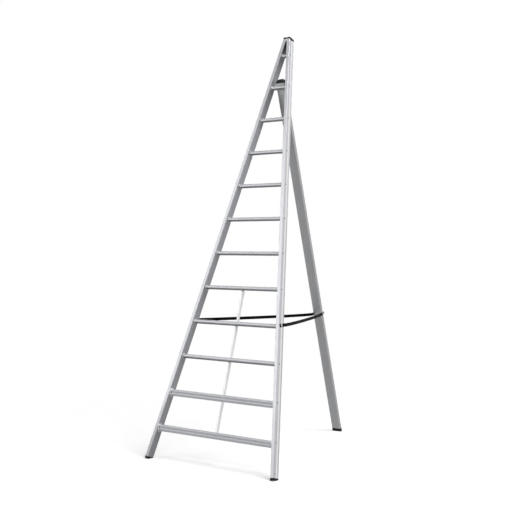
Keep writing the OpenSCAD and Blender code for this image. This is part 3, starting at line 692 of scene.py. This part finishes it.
def bead_thickness(at, radius, closed):
    """The radius of a bead down its length, with the hand's drift and the ripples."""
    knots = max(4, int(at[-1] / HAND_STEP))
    swing = bead_hand.normal(0, 1, knots)
    drift = np.interp(np.linspace(0, 1, len(at)), np.linspace(0, 1, knots + 1),
                      np.r_[swing, swing[:1]])
    ripples = np.abs(np.sin(np.pi * at / RIPPLE))
    thick = radius * (1 + HAND_DRIFT * drift + RIPPLE_SWELL * ripples)
    if not closed:
        ends = np.clip(np.minimum(at, at[-1] - at) / radius, BLUNT_END, 1)
        thick *= np.sqrt(1 - (1 - ends) ** 2)
    return thick


def bead(points, normal, radius, closed=False):
    """Vertices and faces of one weld bead. Normal is the direction that stands on its surface."""
    line, at = resample(points, BEAD_STEP, closed)
    ahead = np.roll(line, -1, axis=0) - np.roll(line, 1, axis=0)
    if not closed:
        ahead[0], ahead[-1] = line[1] - line[0], line[-1] - line[-2]
    ahead = unit(ahead)
    out = unit(np.cross(ahead, np.asarray(normal, float)))
    up = np.cross(out, ahead)
    thick = bead_thickness(at, radius, closed)
    turn = np.linspace(0, 2 * np.pi, BEAD_SIDES, endpoint=False)
    rings = (line[:, None] + thick[:, None, None] * (np.cos(turn)[None, :, None] * out[:, None]
             + np.sin(turn)[None, :, None] * up[:, None]))
    return rings.reshape(-1, 3), tube_faces(len(line), BEAD_SIDES, closed)


# %% [markdown]
# The outline of a rung is known from its extrusion: a flat back with two small corners and one
# bulging front, or two on the double rungs at the bottom. The stiles' inner faces are two planes
# that meet at the ladder's tip, so a point of the outline is carried sideways until it meets
# such a plane. That gives the line of the weld at each end of each rung.

# %% Outline of a rung's end
RUNG_DEPTH, RUNG_CORNER = 0.024, 0.0012
PLAIN_RISE, DOUBLE_RISE, LOBE_EDGE, LOBE_OVERLAP = 0.0067, 0.003, 0.002, 0.0006
LOBE_POINTS, LOBE_SHARE = 14, 0.97
INNER_HALF = BASE_WIDTH / 2 - HALF_STILE / math.cos(TAPER)


def rung_outline(height, lobes):
    """Points of a rung's section: forward from its back, and up from its foot."""
    rise = DOUBLE_RISE if lobes > 1 else PLAIN_RISE
    body = RUNG_DEPTH - rise
    chord = (height - 2 * LOBE_EDGE + (lobes - 1) * LOBE_OVERLAP) / lobes
    radius = (chord ** 2 / 4 + rise ** 2) / (2 * rise)
    half_turn = math.asin(chord / 2 / radius) * LOBE_SHARE
    points = [(RUNG_CORNER, 0.0), (body, 0.0)]
    for lobe in range(lobes):
        middle = LOBE_EDGE + chord / 2 + lobe * (chord - LOBE_OVERLAP)
        for turn in np.linspace(-half_turn, half_turn, LOBE_POINTS):
            points.append((RUNG_DEPTH - radius + radius * math.cos(turn),
                           middle + radius * math.sin(turn)))
    return points + [(body, height), (RUNG_CORNER, height), (0.0, height - RUNG_CORNER),
                     (0.0, RUNG_CORNER)]


def inner_face_x(y, z):
    """How far out the right stile's inner face is there."""
    up_slope = (y - GROUND_Y) * math.sin(LEAN) + z * math.cos(LEAN)
    return INNER_HALF * (1 - up_slope / FRAME_LENGTH)


# %% [markdown]
# The photograph shows a pale patch of metal at the ends of the lowest four rungs, so their beads
# are thicker than those above, most of all at the two double rungs.

# %% Welds between rungs and stiles
PLAIN_BEAD, HEAVY_BEAD, DOUBLE_BEAD = 0.0032, 0.0050, 0.0075
FIRST_HEAVY = 9
BEAD_INWARD = 0.0007


def rung_weld(number, side):
    low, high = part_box(f"rung_{number:02d}")
    is_double = number >= FIRST_DOUBLE
    points = []
    for forward, up in rung_outline(high.z - low.z, 2 if is_double else 1):
        y, z = high.y - forward, low.z + up
        points.append((side * (inner_face_x(y, z) - BEAD_INWARD), y, z))
    thick = DOUBLE_BEAD if is_double else HEAVY_BEAD if number >= FIRST_HEAVY else PLAIN_BEAD
    return bead(points, stile_direction(1, 0, 0, side), thick, closed=True)


weld_metal = aluminium("weld metal", grey(214), (0, 0, 1), metallic=0.5, rough=0.38, uneven=0.18,
                       worn=0.2)
weld_pieces = []
for side, word in ((-1, "left"), (1, "right")):
    beads = [rung_weld(number, side) for number in RUNGS]
    weld_pieces.append(mesh_piece(f"rung_welds_{word}", beads, weld_metal))
print("rung welds:", sum(len(p.data.vertices) for p in weld_pieces), "vertices")

# %% [markdown]
# The round brace only touches the lower back edge of each rung, so its weld follows the wedge on
# both sides of that touch, halfway between the two parts. The hinge cheeks stand on the back of
# the second rung, with a bead down their outer sides and across their ends, clear of the leg that
# swings between them. At the tip, a short bead joins the stiles in front, and another behind.

# %% Welds of the brace, the hinge and the tip
BRACE_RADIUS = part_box("centre_brace")[1].x
BRACE_BEAD_HALF, BRACE_BEAD_POINTS = 0.010, 21
CHEEK_BEAD, CHEEK_BEAD_IN, CHEEK_BEAD_BEHIND = 0.0024, 0.001, 0.0006
TIP_BEAD, TIP_BEAD_DEPTH, TIP_BEAD_POINTS = 0.0030, 0.0318, 12
TIP_BEAD_TOP, TIP_BEAD_FOOT = 0.004, 0.030
FIRST_BRACED = 8


def brace_weld(number):
    low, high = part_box(f"rung_{number:02d}")
    edge = Vector((0, high.y, low.z))
    out = lean_back(0, 1, 0)
    points = []
    for x in np.linspace(-BRACE_BEAD_HALF, BRACE_BEAD_HALF, BRACE_BEAD_POINTS):
        gap = BRACE_RADIUS - math.sqrt(BRACE_RADIUS ** 2 - x * x)
        points.append(edge + out * (gap / 2) + Vector((x, 0, 0)))
    return bead(points, lean_back(0, 0, 1), PLAIN_BEAD)


def cheek_weld(side):
    low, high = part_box("hinge_cheek_right")
    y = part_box("rung_02")[1].y + CHEEK_BEAD_BEHIND
    outer, inner = side * high.x, side * (low.x + CHEEK_BEAD_IN)
    points = [(inner, y, low.z), (outer, y, low.z), (outer, y, high.z), (inner, y, high.z)]
    return bead(points, (0, 1, 0), CHEEK_BEAD)


def tip_weld(back):
    """A bead in the narrow V between the stiles, down from their tops."""
    ground = Vector((0, GROUND_Y, 0))
    points = [ground + lean_back(0, back * TIP_BEAD_DEPTH, FRAME_LENGTH - down)
              for down in np.linspace(TIP_BEAD_TOP, TIP_BEAD_FOOT, TIP_BEAD_POINTS)]
    return bead(points, lean_back(0, back, 0), TIP_BEAD)


brace_beads = [brace_weld(number) for number in RUNGS if number >= FIRST_BRACED]
weld_pieces.append(mesh_piece("brace_welds", brace_beads, weld_metal))
weld_pieces.append(mesh_piece("hinge_welds", [cheek_weld(-1), cheek_weld(1)], weld_metal))
weld_pieces.append(mesh_piece("tip_welds", [tip_weld(-1), tip_weld(1)], weld_metal))
for piece in weld_pieces:
    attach(piece, "front_frame")
print("weld pieces:", [piece.name for piece in weld_pieces])

# %% [markdown]
# The black caps on top of the stiles grip their ends with a thin lip. On the front and the back
# it is short, and on the outer face it reaches further down and fills the end of the channel,
# which makes the dark wedge at the ladder's tip. That longer reach is partly a real lip and partly
# a black sheet that stands in for the shade under the cap's rim. The lip is drawn as a path round
# three sides of the stile's section, with an inner and an outer line, and is then given its height.

# %% Lips of the top caps
# The long lip on the outer face is partly a black sheet put where the cap's rim casts shade.
LIP_PROUD, LIP_SUNK, LIP_SHORT, LIP_LONG = 0.0008, 0.0024, 0.006, 0.014
LIP_START, LIP_ABOVE = 0.0008, 0.0005
CORNER_POINTS = 9
RING_CORNERS = 4


def lip_path(offset):
    """The stile's section from its inner front edge round the outer face to its inner back edge."""
    half, deep, bend = HALF_STILE + offset, STILE_DEPTH / 2 + offset, STILE_CORNER + offset
    path = [(LIP_START - HALF_STILE, -deep)]
    for start, x, y in ((-90, half - bend, bend - deep), (0, half - bend, deep - bend)):
        for turn in np.radians(np.linspace(start, start + 90, CORNER_POINTS)):
            path.append((x + bend * math.cos(turn), y + bend * math.sin(turn)))
    return path + [(LIP_START - HALF_STILE, deep)]


def cap_lip(side):
    outer, inner = lip_path(LIP_PROUD), lip_path(-LIP_SUNK)
    top = FRAME_LENGTH / math.cos(TAPER) + LIP_ABOVE
    corners = []
    for (x, y), (u, v) in zip(outer, inner):
        round_the_corner = np.clip((x - HALF_STILE + STILE_CORNER) / STILE_CORNER, 0, 1)
        foot = top - LIP_SHORT - (LIP_LONG - LIP_SHORT) * round_the_corner
        for across, deep, up in ((x, y, top), (x, y, foot), (u, v, foot), (u, v, top)):
            corners.append(stile_direction(across, deep, up, side) + stile_foot(side))
    return np.array(corners), tube_faces(len(outer), RING_CORNERS, flipped=side > 0)


cap_lips = mesh_piece("top_cap_lips", [cap_lip(-1), cap_lip(1)], cap_plastic, smooth=False)
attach(cap_lips, "front_frame")
print("cap lips:", len(cap_lips.data.polygons), "faces")

# %% [markdown]
# The straps are flat black webbing. They lie flat on the outside of each stile, leave its rear
# edge, turn a little and meet the side of the leg, nearly taut. Cloth simulation would only blur
# so plain a shape, so the webbing is laid out directly. Its middle line comes first: a smooth
# curve with four handles, which starts where the strap leaves the stile and ends where it meets
# the leg. Up and down are counted along the stile and the leg, to the bolts that hold the strap.

# %% The line of a strap
STRAP_WIDTH, STRAP_THICK, STRAP_SAG, SOFT_GAP = 0.025, 0.002, 0.004, 0.0003
STRAP_UP, STRAP_AHEAD, STRAP_DOWN, STRAP_BEHIND = 1.120, 0.003, 1.940, 0.005
STILE_HANDLE, LEG_HANDLE = 1 / 15, 1 / 40
LEG_DEPTH, HALF_LEG = 0.030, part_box("rear_leg_tube")[1].x
HINGE = Vector(frame["joints"][0]["pos_m"])

stile_out = stile_direction(1, 0, 0)
stile_along = Vector((0, 0, 1)).cross(stile_out).normalized()
stile_across = stile_out.cross(stile_along)
stile_hole = stile_foot() + stile_direction(HALF_STILE + SOFT_GAP + STRAP_THICK / 2, -STRAP_AHEAD,
                                            STRAP_UP)
leg_along, leg_across = leg_direction(0, 1, 0), leg_direction(0, 0, 1)
leg_hole = HINGE + leg_direction(HALF_LEG + SOFT_GAP + STRAP_THICK / 2, STRAP_BEHIND,
                                 -STRAP_DOWN)
stile_flat = ((STILE_DEPTH / 2 + STRAP_AHEAD) / math.cos(LEAN)
              + STRAP_WIDTH / 2 * math.tan(LEAN) + STRAP_THICK)
leg_flat = LEG_DEPTH / 2 + STRAP_BEHIND + STRAP_THICK
leave = stile_hole + stile_along * stile_flat
arrive = leg_hole - leg_along * leg_flat
reach = (arrive - leave).length
pull_down = Vector((0, 0, -STRAP_SAG * 4 / 3))
handles = [np.array(p) for p in (leave, leave + stile_along * reach * STILE_HANDLE + pull_down,
                                 arrive - leg_along * reach * LEG_HANDLE + pull_down, arrive)]
print("free strap between its ends:", round(reach, 4), "m")

# %% [markdown]
# The strap also lies flat at both ends, as far as a short tail past each bolt. The whole line is
# cut into even stations. At each one the direction ahead is smoothed a little, because the curve
# meets the flat ends at a slight angle, and the direction across turns evenly from the stile's
# slope to the leg's.

# %% Stations down a strap
STRAP_TAIL = 0.022
STATION = 0.00075
FREE_POINTS = 200
SMOOTHINGS = 3


def strap_line():
    """Even stations: middle points, directions ahead and across, and distances from the start."""
    u = np.linspace(0, 1, FREE_POINTS)[:, None]
    free = (handles[0] * (1 - u) ** 3 + handles[1] * 3 * u * (1 - u) ** 2
            + handles[2] * 3 * u * u * (1 - u) + handles[3] * u ** 3)
    start = np.array(stile_hole - stile_along * STRAP_TAIL)
    end = np.array(leg_hole + leg_along * STRAP_TAIL)
    line, at = resample(np.vstack([start, free, end]), STATION, closed=False)
    first = np.linalg.norm(free[0] - start)
    last = at[-1] - np.linalg.norm(end - free[-1])
    share = np.clip((at - first) / (last - first), 0, 1)[:, None]
    ahead = np.gradient(line, axis=0)
    for _ in range(SMOOTHINGS):
        ahead[1:-1] = (ahead[:-2] + ahead[1:-1] + ahead[2:]) / 3
    ahead = unit(ahead)
    across = np.array(stile_across) * (1 - share) + np.array(leg_across) * share
    across -= ahead * np.sum(across * ahead, axis=1, keepdims=True)
    return line, ahead, unit(across), at


strap_points, strap_ahead, strap_across, strap_at = strap_line()
print("whole strap:", round(float(strap_at[-1]), 4), "m,", len(strap_at), "stations")

# %% [markdown]
# Up close, webbing is a sheet of fine ribs with two firm, slightly rounded edges. The ribs are
# modelled as a small swell of the thickness along the strap, and the threads between them come
# from the material. The cut ends are drawn as sealed by heat, with rounded corners and a thinner
# rim. Each corner of the mesh keeps how far along and across the strap it lies, for the weave.

# %% Webbing mesh
RIB, RIB_DEPTH = 0.0030, 0.09
ACROSS_STEPS = 10
CROWN_POWER, CROWN_LEAST = 14, 0.1
TAIL_CORNER = 0.0045
SEAL_LENGTH, SEAL_THICKNESS = 0.003, 0.55


def half_width(to_end):
    """Half the strap's width, rounded off at the corners of both cut ends."""
    short = np.clip(1 - to_end / TAIL_CORNER, 0, 1)
    return STRAP_WIDTH / 2 - TAIL_CORNER * (1 - np.sqrt(1 - short ** 2))


def half_thickness(to_end):
    """Half the strap's thickness, with its ribs, and thinner where its ends are sealed."""
    open_cloth = np.clip(to_end / SEAL_LENGTH, 0, 1)
    rib = 1 - RIB_DEPTH * (0.5 + 0.5 * np.cos(2 * np.pi * strap_at / RIB))
    return STRAP_THICK / 2 * (SEAL_THICKNESS + (1 - SEAL_THICKNESS) * open_cloth) * rib


def webbing(side):
    to_end = np.minimum(strap_at, strap_at[-1] - strap_at)
    half, thick = half_width(to_end), half_thickness(to_end)
    spread = np.linspace(-1, 1, ACROSS_STEPS)
    crown = np.sqrt(np.clip(1 - np.abs(spread) ** CROWN_POWER, CROWN_LEAST, 1))
    ring_across, ring_out = np.r_[spread, spread[::-1]], np.r_[crown, -crown[::-1]]
    faces_out = np.cross(strap_ahead, strap_across)
    rings = (strap_points[:, None] + (half[:, None] * ring_across)[..., None] * strap_across[:, None]
             + (thick[:, None] * ring_out)[..., None] * faces_out[:, None])
    rings = rings.reshape(-1, 3)
    rings[:, 0] *= side
    around = len(ring_across)
    cloth = np.stack([np.outer(half, ring_across).ravel(), np.repeat(strap_at, around),
                      np.zeros(len(rings))], axis=1)
    return rings, tube_faces(len(strap_at), around, flipped=side < 0), cloth


# %% [markdown]
# The threads are drawn by arithmetic on the two lengths that the mesh carries with it. That way
# the weave runs with the strap round every bend, which a noise in space could not do. A zigzag
# across the strap turns straight lines into a herringbone, and fine cords run along it.

# %% Webbing material
ZIGZAG, ZIGZAG_SLOPE, THREAD, CORD = 0.0031, 0.6, 0.0011, 0.0015
THREAD_SHARE = 0.6
WEAVE_TONE, SMUDGE_TONE = 0.45, 0.8
CLOTH_SCUFF, CLOTH_AMOUNT, CLOTH_BLUR, CLOTH_ROUGH = 0.02, 0.4, 0.2, 0.62
WEAVE_BUMP, WEAVE_HEIGHT = 0.6, 0.0003
WEB_SPECULAR, WEB_SHEEN, WEB_SHEEN_ROUGH = 0.03, 0.02, 0.4


def webbing_material(name):
    material, tree, shader = new_material(name)
    shader.inputs["Specular IOR Level"].default_value = WEB_SPECULAR
    shader.inputs["Sheen Weight"].default_value = WEB_SHEEN
    shader.inputs["Sheen Roughness"].default_value = WEB_SHEEN_ROUGH
    cloth = add_node(tree, "ShaderNodeAttribute", {"attribute_name": "cloth"}).outputs["Vector"]
    lengths = add_node(tree, "ShaderNodeSeparateXYZ", i0=cloth).outputs
    zigzag = maths(tree, "PINGPONG", lengths["X"], ZIGZAG)
    twill = maths(tree, "ADD", lengths["Y"], maths(tree, "MULTIPLY", zigzag, ZIGZAG_SLOPE))
    threads = maths(tree, "SINE", maths(tree, "MULTIPLY", twill, 2 * math.pi / THREAD))
    cords = maths(tree, "SINE", maths(tree, "MULTIPLY", lengths["X"], 2 * math.pi / CORD))
    weave = maths(tree, "MULTIPLY_ADD", threads, THREAD_SHARE,
                  maths(tree, "MULTIPLY", cords, 1 - THREAD_SHARE))
    marks = use_group(tree, scuffs, Size=CLOTH_SCUFF, Amount=CLOTH_AMOUNT)
    tone = maths(tree, "MULTIPLY_ADD", weave, WEAVE_TONE,
                 maths(tree, "MULTIPLY", marks["Smudges"], SMUDGE_TONE))
    skin = mix_colours(tree, tone, colour(5, 5, 6), colour(36, 36, 39))
    tree.links.new(skin, shader.inputs["Base Color"])
    tree.links.new(maths(tree, "MULTIPLY_ADD", marks["Smudges"], CLOTH_BLUR, CLOTH_ROUGH),
                   shader.inputs["Roughness"])
    bump = add_node(tree, "ShaderNodeBump", Strength=WEAVE_BUMP, Distance=WEAVE_HEIGHT,
                    Height=weave)
    tree.links.new(bump.outputs[0], shader.inputs["Normal"])
    return material


strap_weave = webbing_material("black webbing")
print("weave:", len(strap_weave.node_tree.nodes), "nodes")

# %% [markdown]
# Each strap stands for the plain solid strap of the imported model, which is hidden. It runs from
# the stile to the leg and turns smoothly between them.

# %% Both straps
for side, word in ((-1, "left"), (1, "right")):
    vertices, faces, cloth = webbing(side)
    strap = mesh_piece(f"webbing_{word}", [(vertices, faces)], strap_weave)
    marker = strap.data.attributes.new("cloth", "FLOAT_VECTOR", "POINT")
    marker.data.foreach_set("vector", cloth.astype(np.float32).ravel())
    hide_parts(f"strap_{word}")
    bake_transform(strap)
print("webbing vertices each:", len(vertices))

# %% [markdown]
# The studio is as plain as can be: a pale floor and a white background. Both are to look white
# without throwing white light on the ladder. Blender's Light Path node makes that possible,
# because it tells the rays of the camera and of reflections from those of scattered light.

# %% What the camera and reflections see
def seen_directly(tree):
    """1 for the camera's rays and for reflections, 0 for scattered light."""
    path = add_node(tree, "ShaderNodeLightPath").outputs
    mirrored = maths(tree, "MAXIMUM", path["Is Glossy Ray"], path["Is Transmission Ray"])
    return maths(tree, "MAXIMUM", path["Is Camera Ray"], mirrored)


# %% [markdown]
# The floor is nearly white where it is seen, and lifted by a little light of its own. To scattered
# light it is a dark grey that doesn't shine. It keeps the ladder's shadow, and fades out into the
# white behind it.

# %% Floor
FLOOR_HALF = 20.0
FLOOR_LIFT = 0.42
FADE_START, FADE_END = 1.0, 3.4
FLOOR_ROUGHNESS = 0.9

floor_mesh = bpy.data.meshes.new("studio_floor")
floor_corners = [(x * FLOOR_HALF, y * FLOOR_HALF, 0) for x, y in ((-1, -1), (1, -1), (1, 1), (-1, 1))]
floor_mesh.from_pydata(floor_corners, [], [(0, 1, 2, 3)])
floor = bpy.data.objects.new("studio_floor", floor_mesh)
bpy.context.scene.collection.objects.link(floor)
floor_paint, tree, paint = new_material("pale floor")
paint.inputs["Roughness"].default_value = FLOOR_ROUGHNESS
paint.inputs["Specular IOR Level"].default_value = 0.0
seen = seen_directly(tree)
tree.links.new(mix_colours(tree, seen, grey(105), grey(250)), paint.inputs["Base Color"])
lifted = mix_colours(tree, seen, grey(0), (FLOOR_LIFT, FLOOR_LIFT, FLOOR_LIFT, 1.0))
tree.links.new(lifted, paint.inputs["Emission Color"])
paint.inputs["Emission Strength"].default_value = 1.0
away = vector_maths(tree, "LENGTH", "Value", object_place(tree))
fade = ramp(tree, away, FADE_START, FADE_END, 1.0, 0.0, kind="SMOOTHSTEP")
tree.links.new(fade, paint.inputs["Alpha"])
floor_mesh.materials.append(floor_paint)
print("floor", 2 * FLOOR_HALF, "m square")

# %% [markdown]
# The world is white for the camera and in reflections, and gives no other light. That comes from
# four big soft lamps. The tall one at the front left lights the fronts of the stiles, a weak one
# on the right lights the outer face of the right stile, a large one hangs far up on the right for
# the treads, and one behind keeps the back from going dark.

# %% World and lamps
LADDER_MIDDLE = Vector((0, 0, 1.6))
world = bpy.data.worlds.new("studio")
bpy.context.scene.world = world
world.use_nodes = True
tree = world.node_tree
surround = mix_colours(tree, seen_directly(tree), grey(0), grey(255))
tree.links.new(surround, tree.nodes["Background"].inputs["Color"])


def softbox(name, toward, distance, wide, high, watts):
    """A rectangular soft lamp that faces the ladder's middle from that direction."""
    lamp = bpy.data.lights.new(name, "AREA")
    lamp.shape = "RECTANGLE"
    lamp.size, lamp.size_y, lamp.energy = wide, high, watts
    holder = bpy.data.objects.new(name, lamp)
    direction = Vector(toward).normalized()
    holder.location = LADDER_MIDDLE + direction * distance
    holder.rotation_mode = "QUATERNION"
    holder.rotation_quaternion = direction.to_track_quat("Z", "Y")
    holder.visible_camera = False
    bpy.context.scene.collection.objects.link(holder)


softbox("front_left_softbox", toward=(-0.50, -0.66, 0.28), distance=7.0, wide=4.0, high=5.5,
        watts=142)
softbox("right_softbox", toward=(0.98, 0.15, 0.0), distance=6.0, wide=3.0, high=3.0, watts=37)
softbox("high_softbox", toward=(0.66, -0.10, 1.0), distance=14.0, wide=8.0, high=8.0, watts=1580)
softbox("back_softbox", toward=(-0.30, 0.90, 0.22), distance=7.0, wide=4.0, high=4.0, watts=80)
